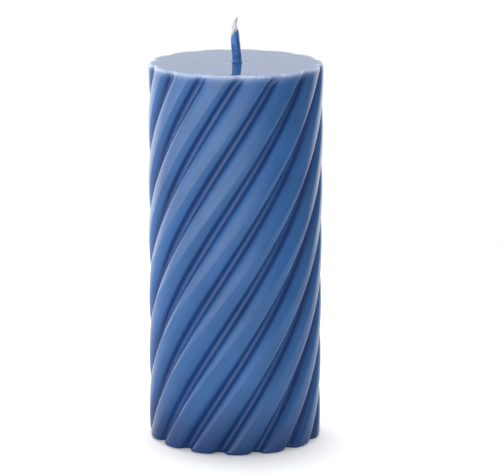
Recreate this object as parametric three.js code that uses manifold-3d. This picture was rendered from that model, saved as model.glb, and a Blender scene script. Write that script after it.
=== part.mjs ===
// Spiral pillar candle: a pale wax core in a coloured wax skin, and a plaited cotton wick held by a tin tab.
// Millimetres, +Z up. The candle stands on Z = 0 with its axis on the Z axis, and -Y is its front.

import * as THREE from "three";
import { mergeVertices } from "three/addons/utils/BufferGeometryUtils.js";
import Module from "manifold-3d";

const wasm = await Module();
wasm.setup();

// Pillar
const HEIGHT = 150; // base to flat top
const CREST_RADIUS = 34.2; // axis to the crown of a lobe
const LOBE_COUNT = 14;
const LEAD = 319; // height in which a lobe would make one full turn
const EDGE_ROUND = 1; // round on the rim and on the foot

// Section of one lobe: a crown arc, a shoulder arc on each side and a groove arc between lobes, all tangent
const CROWN_RADIUS = 14;
const SHOULDER_RADIUS = 3.7;
const GROOVE_RADIUS = 1.7;
const GROOVE_DEPTH = 3.6; // crest circle to the bottom of the groove

// Coloured skin
const COAT_THICKNESS = 1.4;
const CLEARANCE = 0.3; // gap between pieces that touch on the real candle
const RIM_FILL = 0.5; // share of the grooves' depth that coloured wax fills at the rim
const RIM_REACH = 7; // height below the rim in which the grooves fill up

// Wick
const WICK_OFFSET = 0.4; // the wick stands this far right of the candle's axis
const WICK_FOOT = 0.6; // base of the candle to the wick's cut foot
const WICK_LENGTH = 17.7; // top of the candle to the tip
const WICK_BOW = 1.5; // pull of the bend towards -X, at the upper handle of its curve
const WICK_TIP_SHIFT = 0.2; // the tip ends this far towards -X
const STRAND_COUNT = 3;
const STRAND_GAP = 0.1; // least gap between strands
const PLAIT_PITCH = 14; // length in which a strand swings across and back
const PLAIT_SWING = 0.88; // wick's centre to a strand's centre at the plait's edge
const PLAIT_RISE = 0.61; // the same over and under
const TIP_TAPER = 6; // length of the pinched tip
const TIP_SHARE = 0.2; // thickness left at the tip
const WICK_CLEARANCE = 0.15; // round the wick, in its bore, its coat and the tab's neck

// Coloured wax on the lower part of the bare wick
const BARE_TIP = 6.1; // middle of the coat's slanted end to the wick's tip
const WICK_COAT_SLANT = THREE.MathUtils.degToRad(36); // rises towards +X
const WICK_COAT_WALL = 0.33; // at the foot
const WICK_COAT_THINNING = 0.15; // less wall at the upper end

// Tin-plate wick tab
const TAB_RADIUS = 7.5;
const TAB_THICKNESS = 0.3;
const TAB_INSET = 0.3; // underside of the tab above the base
const NECK_RADIUS = 1.9; // middle of the sheet, where the neck is still round
const NECK_HEIGHT = 6; // underside of the tab to the neck's mouth
const NECK_FILLET = 0.6; // inside of the bend between tab and neck
const CRIMP_HEIGHT = 3.9; // underside of the tab to the middle of the crimp
const CRIMP_REACH = 1.8; // middle of the crimp to where the neck is round again

// Facets
const CROWN_STEPS = 2;
const SHOULDER_STEPS = 3;
const GROOVE_STEPS = 2;
const SKIN_STEPS = 13; // slices of the outer surface over the height, the last one at the rim
const CORE_STEPS = 8; // slices of the hidden surfaces
const ROUND_STEPS = 2;
const STRAND_SIDES = 5;
const STEPS_PER_PITCH = 8;
const WICK_COAT_SIDES = 12;
const WICK_COAT_STEPS = 5;
const TAB_SIDES = 24;
const FILLET_STEPS = 3;
const NECK_STEPS = 5;

// Derived sizes
const HALF_LOBE = Math.PI / LOBE_COUNT;
const FRONT = -Math.PI / 2;
const CUT_MARGIN = 1; // cutters run this far past the face that they open
const CORE_INSET = COAT_THICKNESS + CLEARANCE;
const STRAIGHT_WICK = HEIGHT - WICK_FOOT; // foot of the wick to the top of the candle
const COAT_REACH = WICK_LENGTH - BARE_TIP; // top of the candle to the middle of the wick coat's end

const MATERIALS = {
  colouredWax: new THREE.MeshStandardMaterial({ color: "#5b80b8", roughness: 0.28, metalness: 0 }),
  paleWax: new THREE.MeshStandardMaterial({ color: "#ece6d6", roughness: 0.5, metalness: 0 }),
  cotton: new THREE.MeshStandardMaterial({ color: "#efece6", roughness: 0.9, metalness: 0 }),
  tinPlate: new THREE.MeshStandardMaterial({ color: "#b8bbbf", roughness: 0.35, metalness: 1 }),
};

// A closed geometry as a manifold solid.
function solidOf(geometry) {
  const bare = geometry.clone();
  bare.deleteAttribute("normal");
  bare.deleteAttribute("uv");
  const merged = mergeVertices(bare, 1e-4);
  const vertProperties = new Float32Array(merged.attributes.position.array);
  const triVerts = new Uint32Array(merged.index.array);
  return new wasm.Manifold(new wasm.Mesh({ numProp: 3, vertProperties, triVerts }));
}

// A manifold solid as a geometry that can be drawn.
function geometryOf(solid) {
  const { vertProperties, triVerts } = solid.getMesh();
  const geometry = new THREE.BufferGeometry();
  geometry.setAttribute("position", new THREE.BufferAttribute(vertProperties, 3));
  geometry.setIndex(new THREE.BufferAttribute(triVerts, 1));
  geometry.computeVertexNormals();
  return geometry;
}

function part(name, solid, material) {
  const mesh = new THREE.Mesh(geometryOf(solid), material);
  mesh.name = name;
  return mesh;
}

// A point at a distance from the axis, turned by an angle.
function polar(distance, angle) {
  return new THREE.Vector2(distance * Math.cos(angle), distance * Math.sin(angle));
}

// Centres and end angles of a lobe's arcs, with X through its crest. The shoulder touches the crown arc from
// inside and the groove arc from outside, so its centre is where two circles round their centres cross.
function lobeArcs() {
  const crown = polar(CREST_RADIUS - CROWN_RADIUS, 0);
  const groove = polar(CREST_RADIUS - GROOVE_DEPTH + GROOVE_RADIUS, HALF_LOBE);
  const across = groove.clone().sub(crown);
  const toShoulder = CROWN_RADIUS - SHOULDER_RADIUS;
  const shoulderToGroove = SHOULDER_RADIUS + GROOVE_RADIUS;
  const squares = across.lengthSq() + toShoulder ** 2 - shoulderToGroove ** 2;
  const crownEnd = across.angle() - Math.acos(squares / (2 * across.length() * toShoulder));
  const shoulder = crown.clone().add(polar(toShoulder, crownEnd));
  const shoulderEnd = groove.clone().sub(shoulder).angle();
  return { crown, shoulder, groove, crownEnd, shoulderEnd };
}

// The fluted outline, moved inwards by an inset: convex arcs shrink by it and the grooves' concave arcs grow.
function flutedSection(inset) {
  const { crown, shoulder, groove, crownEnd, shoulderEnd } = lobeArcs();
  const crownRadius = CROWN_RADIUS - inset;
  const shoulderRadius = SHOULDER_RADIUS - inset;
  const grooveRadius = GROOVE_RADIUS + inset;
  const aside = shoulder.angle();
  const inwards = Math.PI;
  const points = [];
  const addArc = (distance, place, radius, from, to, steps) => {
    const centre = polar(distance, place);
    const curve = new THREE.ArcCurve(centre.x, centre.y, radius, from, to, to < from);
    points.push(...curve.getPoints(steps).slice(0, -1));
  };
  for (let i = 0; i < LOBE_COUNT; i++) {
    const crest = FRONT + 2 * HALF_LOBE * i;
    const valley = crest + HALF_LOBE;
    const next = crest + 2 * HALF_LOBE;
    const bends = [crest + crownEnd, crest + shoulderEnd, next - shoulderEnd, next - crownEnd];
    addArc(crown.length(), crest, crownRadius, crest - crownEnd, bends[0], CROWN_STEPS);
    addArc(shoulder.length(), crest + aside, shoulderRadius, bends[0], bends[1], SHOULDER_STEPS);
    addArc(groove.length(), valley, grooveRadius, bends[1] + inwards, bends[2] + inwards, GROOVE_STEPS);
    addArc(shoulder.length(), next - aside, shoulderRadius, bends[2], bends[3], SHOULDER_STEPS);
  }
  return new THREE.Shape(points);
}

// The height that an evenly spaced slice moves to, so that the last slice spans just the filled rim.
function spacedForRim(height, bottom, top, steps) {
  const slice = Math.round((steps * (height - bottom)) / (top - bottom));
  const fillStart = HEIGHT - RIM_REACH;
  return slice > 0 && slice < steps ? THREE.MathUtils.lerp(bottom, fillStart, slice / (steps - 1)) : height;
}

// The fluted outline carried up the axis, then turned with height into right-handed spiral lobes.
// In a filled rim each point moves out by a share of its way to the crest circle.
function flutedPillar({ inset, bottom, top, steps, round = 0, filled = false }) {
  const geometry = new THREE.ExtrudeGeometry(flutedSection(inset), {
    depth: top - bottom - 2 * round,
    steps,
    bevelEnabled: round > 0,
    bevelThickness: round,
    bevelSize: round,
    bevelOffset: -round,
    bevelSegments: ROUND_STEPS,
  });
  geometry.translate(0, 0, bottom + round);
  const position = geometry.attributes.position;
  const up = new THREE.Vector3(0, 0, 1);
  const vertex = new THREE.Vector3();
  for (let i = 0; i < position.count; i++) {
    vertex.fromBufferAttribute(position, i);
    if (filled) {
      vertex.z = spacedForRim(vertex.z, bottom + round, top - round, steps);
      const fill = RIM_FILL * THREE.MathUtils.smoothstep(vertex.z, HEIGHT - RIM_REACH, HEIGHT);
      const distance = Math.hypot(vertex.x, vertex.y);
      const share = THREE.MathUtils.lerp(1, CREST_RADIUS / distance, fill);
      vertex.x *= share;
      vertex.y *= share;
    }
    vertex.applyAxisAngle(up, (2 * Math.PI * vertex.z) / LEAD);
    position.setXYZ(i, vertex.x, vertex.y, vertex.z);
  }
  return solidOf(geometry);
}

// A profile of [radius, height] pairs turned round the wick's axis.
function revolved(profile, sides) {
  const points = profile.map(([radius, height]) => new THREE.Vector2(radius, height));
  return new THREE.LatheGeometry(points, sides).rotateX(Math.PI / 2);
}

// A round tube closed at both ends, with a radius for each centre. It runs near upright.
function closedTube(centres, radii, sides) {
  const vertices = [];
  const triangles = [];
  const last = centres.length - 1;
  const tangent = new THREE.Vector3();
  const side = new THREE.Vector3();
  const front = new THREE.Vector3();
  centres.forEach((centre, ring) => {
    tangent.subVectors(centres[Math.min(ring + 1, last)], centres[Math.max(ring - 1, 0)]).normalize();
    side.set(0, 1, 0).cross(tangent).normalize();
    front.crossVectors(tangent, side);
    for (let i = 0; i < sides; i++) {
      const angle = (2 * Math.PI * i) / sides;
      const vertex = centre.clone();
      vertex.addScaledVector(side, radii[ring] * Math.cos(angle));
      vertex.addScaledVector(front, radii[ring] * Math.sin(angle));
      vertices.push(vertex);
    }
  });
  const foot = vertices.push(centres[0]) - 1;
  const tip = vertices.push(centres[last]) - 1;
  for (let i = 0; i < sides; i++) {
    const j = (i + 1) % sides;
    triangles.push(foot, j, i);
    triangles.push(tip, last * sides + i, last * sides + j);
    for (let ring = 0; ring < last; ring++) {
      const low = ring * sides;
      const high = low + sides;
      triangles.push(low + i, low + j, high + j);
      triangles.push(low + i, high + j, high + i);
    }
  }
  const geometry = new THREE.BufferGeometry().setFromPoints(vertices);
  geometry.setIndex(triangles);
  return solidOf(geometry);
}

// The wick's centre line: straight up the bore, then bowed to the left and back above the top.
function wickLine() {
  const foot = new THREE.Vector3(0, 0, WICK_FOOT);
  const exit = new THREE.Vector3(0, 0, HEIGHT);
  const lowerHandle = new THREE.Vector3(0, 0, HEIGHT + WICK_LENGTH / 3);
  const upperHandle = new THREE.Vector3(-WICK_BOW, 0, HEIGHT + (3 * WICK_LENGTH) / 4);
  const tip = new THREE.Vector3(-WICK_TIP_SHIFT, 0, HEIGHT + WICK_LENGTH);
  const curve = new THREE.CurvePath();
  curve.add(new THREE.LineCurve3(foot, exit));
  curve.add(new THREE.CubicBezierCurve3(exit, lowerHandle, upperHandle, tip));
  return curve;
}

const line = wickLine();
const lineLength = line.getLength();

// Share of the wick's thickness that is left at a distance from its tip, where it is pinched.
function pinch(toTip) {
  return Math.min(1, TIP_SHARE + ((1 - TIP_SHARE) * toTip) / TIP_TAPER);
}

// Centres of one strand of the plait. It swings across once a pitch, and over and under twice as fast.
function strandCentres(strand) {
  const steps = Math.round((lineLength / PLAIT_PITCH) * STEPS_PER_PITCH);
  return Array.from({ length: steps + 1 }, (_, i) => {
    const along = (lineLength * i) / steps;
    const phase = 2 * Math.PI * (along / PLAIT_PITCH + strand / STRAND_COUNT);
    const across = PLAIT_SWING * Math.sin(phase);
    const over = PLAIT_RISE * Math.sin(2 * phase);
    const share = pinch(lineLength - along);
    return line.getPoint(i / steps).add(new THREE.Vector3(across * share, over * share, 0));
  });
}

// Least distance between the centre lines of two strands, below the pinched tip.
function strandSpread() {
  const [a, b] = [strandCentres(0), strandCentres(1)];
  const end = a.length - Math.ceil((TIP_TAPER / PLAIT_PITCH) * STEPS_PER_PITCH);
  const segment = new THREE.Line3();
  const nearest = new THREE.Vector3();
  let least = Infinity;
  for (let i = 1; i < end; i++) {
    segment.set(b[i - 1], b[i]);
    for (let j = Math.max(0, i - STEPS_PER_PITCH); j < Math.min(end, i + STEPS_PER_PITCH); j++) {
      segment.closestPointToPoint(a[j], true, nearest);
      least = Math.min(least, nearest.distanceTo(a[j]));
    }
  }
  return least;
}

// Sizes that follow from the plait: its strands are as thick as they leave room for.
const strandRadius = (strandSpread() - STRAND_GAP) / 2;
const boreRadius = PLAIT_SWING + strandRadius + WICK_CLEARANCE;
const crimpedDepth = PLAIT_RISE + strandRadius + WICK_CLEARANCE + TAB_THICKNESS / 2;
const crimpedWidth = Math.sqrt(2 * NECK_RADIUS ** 2 - crimpedDepth ** 2);
const neckRoom = crimpedWidth + TAB_THICKNESS / 2 + CLEARANCE;

function wickStrand(strand) {
  const centres = strandCentres(strand);
  const last = centres.length - 1;
  const radii = centres.map((_, i) => strandRadius * pinch(lineLength * (1 - i / last)));
  return closedTube(centres, radii, STRAND_SIDES);
}

// Points of the wick's line between two distances along it, counted from the top of the candle.
function wickPoints(from, to) {
  return Array.from({ length: WICK_COAT_STEPS + 1 }, (_, i) => {
    const along = STRAIGHT_WICK + THREE.MathUtils.lerp(from, to, i / WICK_COAT_STEPS);
    return line.getPoint(along / lineLength);
  });
}

// The sleeve of wax round the bare wick, thinner upwards, with its upper end cut at a slant.
function wickCoat() {
  const outerRadii = Array.from({ length: WICK_COAT_STEPS + 1 }, (_, i) => {
    return boreRadius + WICK_COAT_WALL - (WICK_COAT_THINNING * i) / WICK_COAT_STEPS;
  });
  const slantRise = outerRadii[0] * Math.tan(WICK_COAT_SLANT);
  const uncut = COAT_REACH + slantRise + CUT_MARGIN;
  const outer = closedTube(wickPoints(CLEARANCE, uncut), outerRadii, WICK_COAT_SIDES);
  const innerRadii = outerRadii.map(() => boreRadius);
  const inner = closedTube(wickPoints(-CUT_MARGIN, uncut + CUT_MARGIN), innerRadii, WICK_COAT_SIDES);
  const [end] = wickPoints(COAT_REACH, COAT_REACH);
  const cutterSize = 4 * slantRise + 4 * CUT_MARGIN;
  const above = new THREE.BoxGeometry(cutterSize, cutterSize, cutterSize);
  above.translate(0, 0, cutterSize / 2);
  above.rotateY(-WICK_COAT_SLANT);
  above.translate(end.x, end.y, end.z);
  return outer.subtract(inner).subtract(solidOf(above));
}

// Profile of the stamped tab: a flat disc whose middle is drawn up into a neck of the same sheet.
function tabProfile() {
  const neckInner = NECK_RADIUS - TAB_THICKNESS / 2;
  const neckOuter = NECK_RADIUS + TAB_THICKNESS / 2;
  const bendFoot = TAB_THICKNESS + NECK_FILLET;
  const bendArc = (radius, from, to) => {
    const curve = new THREE.ArcCurve(neckOuter + NECK_FILLET, bendFoot, radius, from, to, to < from);
    return curve.getPoints(FILLET_STEPS).map((point) => [point.x, point.y]);
  };
  const neckHeights = Array.from({ length: NECK_STEPS }, (_, i) => {
    return THREE.MathUtils.lerp(bendFoot, NECK_HEIGHT, (i + 1) / NECK_STEPS);
  });
  return [
    [TAB_RADIUS, 0],
    [TAB_RADIUS, TAB_THICKNESS],
    ...bendArc(NECK_FILLET, 1.5 * Math.PI, Math.PI),
    ...neckHeights.map((height) => [neckOuter, height]),
    ...neckHeights.toReversed().map((height) => [neckInner, height]),
    ...bendArc(NECK_FILLET + TAB_THICKNESS, Math.PI, 1.5 * Math.PI),
    [TAB_RADIUS, 0],
  ];
}

// The wick tab, with its neck's round section pressed into an oval of the same length round the flat wick.
function wickTab() {
  const geometry = revolved(tabProfile(), TAB_SIDES);
  const position = geometry.attributes.position;
  for (let i = 0; i < position.count; i++) {
    const [x, y, height] = [position.getX(i), position.getY(i), position.getZ(i)];
    const fromCrimp = Math.min(1, Math.abs(height - CRIMP_HEIGHT) / CRIMP_REACH);
    const press = 0.5 + 0.5 * Math.cos(Math.PI * fromCrimp);
    const depth = THREE.MathUtils.lerp(NECK_RADIUS, crimpedDepth, press);
    const width = Math.sqrt(2 * NECK_RADIUS ** 2 - depth ** 2);
    const angle = Math.atan2(y, x);
    const fromSheet = Math.hypot(x, y) - NECK_RADIUS;
    const outward = new THREE.Vector2(depth * Math.cos(angle), width * Math.sin(angle)).normalize();
    position.setX(i, width * Math.cos(angle) + fromSheet * outward.x);
    position.setY(i, depth * Math.sin(angle) + fromSheet * outward.y);
  }
  geometry.translate(0, 0, TAB_INSET);
  return solidOf(geometry);
}

// The space for the tab in the base, for its neck above that, and for the wick up to the top.
function wickWell() {
  const recessTop = TAB_INSET + TAB_THICKNESS + CLEARANCE;
  const neckTop = TAB_INSET + NECK_HEIGHT + CLEARANCE;
  const profile = [
    [0, -CUT_MARGIN],
    [TAB_RADIUS + CLEARANCE, -CUT_MARGIN],
    [TAB_RADIUS + CLEARANCE, recessTop],
    [neckRoom, recessTop],
    [neckRoom, neckTop],
    [boreRadius, neckTop],
    [boreRadius, HEIGHT + CUT_MARGIN],
    [0, HEIGHT + CUT_MARGIN],
  ];
  return solidOf(revolved(profile, TAB_SIDES).translate(WICK_OFFSET, 0, 0));
}

// The pale body of the candle, open for the wick and its tab.
function waxCore() {
  const body = flutedPillar({ inset: CORE_INSET, bottom: 0, top: HEIGHT - CORE_INSET, steps: CORE_STEPS });
  return body.subtract(wickWell());
}

// The coloured skin over the side and the top. The base is left bare.
function colouredCoat() {
  const outside = flutedPillar({
    inset: 0,
    bottom: 0,
    top: HEIGHT,
    steps: SKIN_STEPS,
    round: EDGE_ROUND,
    filled: true,
  });
  const inside = flutedPillar({
    inset: COAT_THICKNESS,
    bottom: -CUT_MARGIN,
    top: HEIGHT - COAT_THICKNESS,
    steps: CORE_STEPS,
  });
  return outside.subtract(inside).subtract(wickWell());
}

function wick() {
  const group = new THREE.Group();
  group.position.x = WICK_OFFSET;
  for (let strand = 0; strand < STRAND_COUNT; strand++) {
    group.add(part("wick_strand_" + (strand + 1), wickStrand(strand), MATERIALS.cotton));
  }
  group.add(part("wick_coat", wickCoat(), MATERIALS.colouredWax));
  group.add(part("wick_sustainer", wickTab(), MATERIALS.tinPlate));
  return group;
}

const candle = new THREE.Group();
candle.add(part("wax_core", waxCore(), MATERIALS.paleWax));
candle.add(part("coloured_coat", colouredCoat(), MATERIALS.colouredWax));
candle.add(wick());

export default candle;
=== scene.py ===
"""Spiral pillar candle: its surfaces, finishes and studio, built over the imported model.

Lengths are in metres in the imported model's frame. The candle stands on Z = 0 and is seen from -Y.
"""

import math
from math import radians

import bpy
import numpy as np
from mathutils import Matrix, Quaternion, Vector


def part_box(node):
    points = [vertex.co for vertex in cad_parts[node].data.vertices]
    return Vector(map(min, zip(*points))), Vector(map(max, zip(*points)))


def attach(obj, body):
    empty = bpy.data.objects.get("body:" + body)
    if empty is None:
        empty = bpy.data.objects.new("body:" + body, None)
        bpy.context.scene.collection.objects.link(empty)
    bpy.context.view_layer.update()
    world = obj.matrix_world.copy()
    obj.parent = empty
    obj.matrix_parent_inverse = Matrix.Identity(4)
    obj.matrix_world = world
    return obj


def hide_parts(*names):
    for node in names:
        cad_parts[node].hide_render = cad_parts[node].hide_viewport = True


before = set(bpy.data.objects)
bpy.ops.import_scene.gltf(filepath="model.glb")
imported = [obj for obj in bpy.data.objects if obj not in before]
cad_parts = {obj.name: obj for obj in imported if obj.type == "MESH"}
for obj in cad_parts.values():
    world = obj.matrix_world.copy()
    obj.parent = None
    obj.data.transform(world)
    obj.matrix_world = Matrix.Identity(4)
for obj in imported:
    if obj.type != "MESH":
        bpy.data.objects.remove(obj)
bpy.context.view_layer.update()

bl_info = {
    "name": "Spiral Pillar Candle",
    "version": (1, 0, 0),
    "blender": (4, 5, 0),
    "location": "3D View > Sidebar > Candle",
    "description": "Builds a fluted spiral candle with its plaited wick, wick tab and studio",
    "category": "Add Mesh",
}

COAT_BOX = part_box("coloured_coat")
TAB_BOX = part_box("wick_sustainer")
BODY = "root"
STRANDS = 3
PLIES = 5
TURN = 2 * math.pi
WHITE = (1.0, 1.0, 1.0, 1.0)
WAX_IOR = 1.44
UNIT = (0.0, 1.0)
NOISE_RANGE = (0.3, 0.7)  # nearly all values of a noise lie in it

# Fineness of the meshes

CROWN_STEPS = 8
SHOULDER_STEPS = 6
GROOVE_STEPS = 6
ROUND_ROWS = 8
SIDE_ROWS = 150
TOP_ROWS = 36
TOP_CROWDING = 1.6  # above 1 the rows of the top lie closer together near the wick
UNDER_ROWS = 5
INNER_ROWS = 26
CORE_ROWS = 60
LID_ROWS = 6
BASE_ROWS = 14
CURVE_STEPS = 400
STRAND_COLUMNS = 30
BURIED_ROWS = 150
SHOWN_ROWS = 130
SHOWN_FROM = -0.003  # the strands' finer rows start here, against the top of the candle
SLEEVE_COLUMNS = 72
SLEEVE_ROWS = 90
BORE_ROWS = 30
TAB_COLUMNS = 96
DISC_ROWS = 12
NECK_ROWS = 24
BEND_ROWS = 9
LIP_ROWS = 7
FLOOR_SIDES = 96
CREASE = radians(40)  # sharper edges than this stay crisp


def size(name, description, default):
    """A length in metres that can be changed in the sidebar."""
    return bpy.props.FloatProperty(
        name=name, description=description, default=default, precision=5, subtype="DISTANCE", unit="LENGTH"
    )


def strength(name, description, default):
    """A multiple that isn't negative, such as a brightness where 1 is plain white."""
    return bpy.props.FloatProperty(name=name, description=description, default=default, min=0.0)


def share(name, description, default):
    """A share from 0 to 1."""
    return bpy.props.FloatProperty(
        name=name, description=description, default=default, min=0.0, max=1.0, subtype="FACTOR"
    )


def angle(name, description, default):
    """An angle in radians."""
    return bpy.props.FloatProperty(
        name=name, description=description, default=default, subtype="ANGLE", unit="ROTATION"
    )


def colour(name, description, default):
    """A linear colour with full alpha."""
    return bpy.props.FloatVectorProperty(
        name=name, description=description, default=(*default, 1.0), size=4, min=0.0, max=1.0,
        subtype="COLOR",
    )


class CandleBody(bpy.types.PropertyGroup):
    """Sizes of the wax body."""

    height: size("Height", "Base to flat top", COAT_BOX[1].z)
    crest_radius: size("Crest Radius", "Axis to the crown of a lobe", 0.03419)
    lobes: bpy.props.IntProperty(
        name="Lobes", description="Number of lobes round the candle", default=14, min=3
    )
    lead: size("Lead", "Height in which a lobe would make one full turn", 0.319)
    crown_radius: size("Crown Radius", "Arc along the crown of a lobe", 0.014)
    shoulder_radius: size("Shoulder Radius", "Arc on each side of the crown", 0.0037)
    groove_radius: size("Groove Radius", "Arc at the bottom of a groove", 0.0017)
    groove_depth: size("Groove Depth", "Crest circle to the bottom of a groove", 0.0036)
    rim_fill: share("Rim Fill", "Share of the grooves' depth that is filled at the rim", 0.66)
    rim_reach: size("Rim Reach", "Height below the rim in which the grooves fill up", 0.0045)
    edge_round: size("Edge Round", "Round on the rim", 0.0014)
    coat_thickness: size("Coat Thickness", "Wax over the core, and the round on its foot", 0.0014)
    seam: size("Seam", "Gap that is left between pieces of wax", 0.00002)
    dish_depth: size("Dish Depth", "Hollow of the top round the wick", 0.00012)
    dish_radius: size("Dish Radius", "Reach of the hollow round the wick", 0.005)
    # Painted highlight on the rim: how pale it is and how it fades down the side and in on the top.
    rim_highlight_share: share("Edge Share", "How pale the wax is where the rim's round begins and ends", 0.3)
    rim_highlight_fade: size("Edge Fade", "Height below the rim in which its paler wax fades", 0.0007)
    rim_highlight_spread: share("Edge Spread", "Share of the way to the wick in which it fades on the top", 0.012)
    # Painted shade near the floor darkens the wax within this height of the base.
    foot_reach: size("Foot Reach", "Height above the base in which the wax is darker", 0.03)
    # Painted shade, not deeper dye: the wax is darker towards the rim and lighter towards the foot.
    height_shade: share("Fading", "How much deeper the dye is at the rim than at the foot", 0.3)


class CandleWick(bpy.types.PropertyGroup):
    """Sizes of the wick and of the wax on it."""

    offset: size("Offset", "Candle's axis to the wick's", (TAB_BOX[0].x + TAB_BOX[1].x) / 2)
    foot: size("Foot", "Base of the candle to the wick's cut foot", 0.0006)
    length: size("Length", "Top of the candle to the wick's tip", 0.01755)
    bow: size("Bow", "Pull of the bend towards -X", 0.0022)
    tip_shift: size("Tip Shift", "The tip ends this far towards -X", 0.0002)
    strand_radius: size("Strand Radius", "Radius of one of the three strands", 0.00038)
    ply_relief: size("Ply Relief", "Height of the twisted yarns on a strand", 0.00003)
    ply_pitch: size("Ply Pitch", "Length in which a strand's yarns make one turn", 0.0042)
    plait_pitch: size("Plait Pitch", "Length in which a strand swings across and back", 0.014)
    plait_swing: size("Plait Swing", "Wick's centre to a strand's at the edge", 0.00088)
    plait_rise: size("Plait Rise", "The same over and under", 0.00061)
    tip_taper: size("Tip Taper", "Length of the pinched tip", 0.006)
    tip_share: share("Tip Share", "Width of the plait that is left at the tip", 0.24)
    tip_firmness: share("Tip Firmness", "Power of the plait's width by which a strand thins", 0.6)
    swell: strength("Swell", "How much thicker the loose yarns are where the wick is bare", 1.0)
    swell_reach: size("Swell Reach", "Length below the end of its wax in which they spread", 0.002)
    swell_drift: share("Swell Drift", "Power of the swelling by which the strands move together", 0.3)
    bore: size("Bore", "Radius of the wick's hole", 0.00142)
    coat_reach: size("Coat Reach", "Top of the candle to the middle of the coat's slanted end", 0.0116)
    coat_slant: angle("Coat Slant", "Rise of the coat's end towards +X", radians(36))
    coat_radius: size("Coat Radius", "Outside of the wax on the wick, at its foot", 0.0019)
    coat_thinning: size("Coat Thinning", "Less radius at the upper end", 0.0001)
    coat_feather: size("Coat Feather", "Length in which the wax thins out at its end", 0.0022)
    coat_edge: size("Coat Edge", "Thickness to which it thins out", 0.00003)
    coat_lumps: size("Coat Lumps", "How far the plait shows through the wax", 0.00005)
    coat_flare: size("Coat Flare", "Wax drawn up round the foot of the wick", 0.0004)
    flare_reach: size("Flare Reach", "Height in which that wax thins to about a third", 0.0005)
    coat_tone: strength("Coat Tone", "Brightness of the wax here, as a multiple of the side's", 1.5)


class CandleTab(bpy.types.PropertyGroup):
    """Sizes of the stamped wick tab and of its recess."""

    radius: size("Radius", "Radius of the disc", 0.0075)
    sheet: size("Sheet", "Thickness of the tin plate", 0.0003)
    inset: size("Inset", "Underside of the disc above the base", TAB_BOX[0].z)
    neck_radius: size("Neck Radius", "Middle of the sheet where the neck is round", 0.0019)
    neck_height: size("Neck Height", "Underside of the disc to the neck's mouth", 0.006)
    fillet: size("Fillet", "Inside of the bend between disc and neck", 0.0006)
    crimp_height: size("Crimp Height", "Underside of the disc to the middle of the crimp", 0.0039)
    crimp_reach: size("Crimp Reach", "Middle of the crimp to where the neck is round again", 0.0018)
    crimp_depth: size("Crimp Depth", "Neck's axis to the middle of the sheet in the crimp", 0.0013)
    clearance: size("Clearance", "Room round the tab in the wax", 0.0003)
    neck_room: size("Neck Room", "Radius of the pocket for the neck", 0.0028)
    lip: share("Lip", "Round at the recess's mouth, as a share of the recess's height", 0.25)


class CandleColours(bpy.types.PropertyGroup):
    """Colours of the finishes."""

    wax: colour("Wax", "Coloured wax on the lobes", (0.028, 0.114, 0.322))
    # Painted shade on the grooves' walls.
    groove_shade_wax: colour("Deep Wax", "Coloured wax on the walls of the grooves", (0.02, 0.061, 0.215))
    # Painted highlight on the rim, not thinner wax.
    rim_highlight_wax: colour("Edge Wax", "Coloured wax where it is thinnest, on the rim", (0.45, 0.56, 0.8))
    # Painted shade near the floor, not wax that has run down.
    foot_shade_wax: colour("Foot Wax", "Coloured wax where it has run down", (0.0145, 0.057, 0.19))
    pale_wax: colour("Pale Wax", "Undyed wax of the core", (0.82, 0.78, 0.67))
    dense_wax: colour("Dense Wax", "The same where it is denser", (0.76, 0.7, 0.57))
    cotton: colour("Cotton", "Yarn of the wick", (0.74, 0.72, 0.73))
    shaded_cotton: colour("Shaded Cotton", "Between the yarns", (0.58, 0.57, 0.59))
    tin: colour("Tin", "Tin plate of the tab", (0.62, 0.63, 0.65))
    floor: colour("Floor", "Floor under the candle", (1.0, 1.0, 1.0))


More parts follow.
